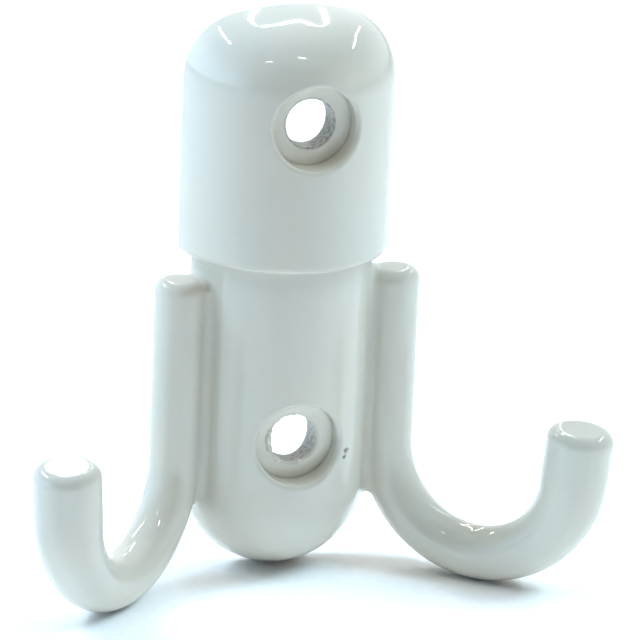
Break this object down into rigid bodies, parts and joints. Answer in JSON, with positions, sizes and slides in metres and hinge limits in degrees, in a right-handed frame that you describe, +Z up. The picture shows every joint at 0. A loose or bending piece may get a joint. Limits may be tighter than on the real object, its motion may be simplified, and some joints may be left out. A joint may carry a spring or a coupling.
{
  "type": "coat hook",
  "caption": "Cast double coat hook in glossy off-white enamel: half-round wall body with counterbored screw holes and a round upturned hook on each side.",
  "frame": {"origin": "on the wall plane, midway between the axes of the two screw holes", "axes": "+X to the right as seen from the room, +Y into the wall, +Z up"},
  "size_m": [0.0722, 0.0252, 0.0702],
  "materials": {
    "enamel": "glossy off-white enamel over cast metal"
  },
  "bodies": {
    "root": {"coat_hook": "enamel"}
  },
  "joints": []
}
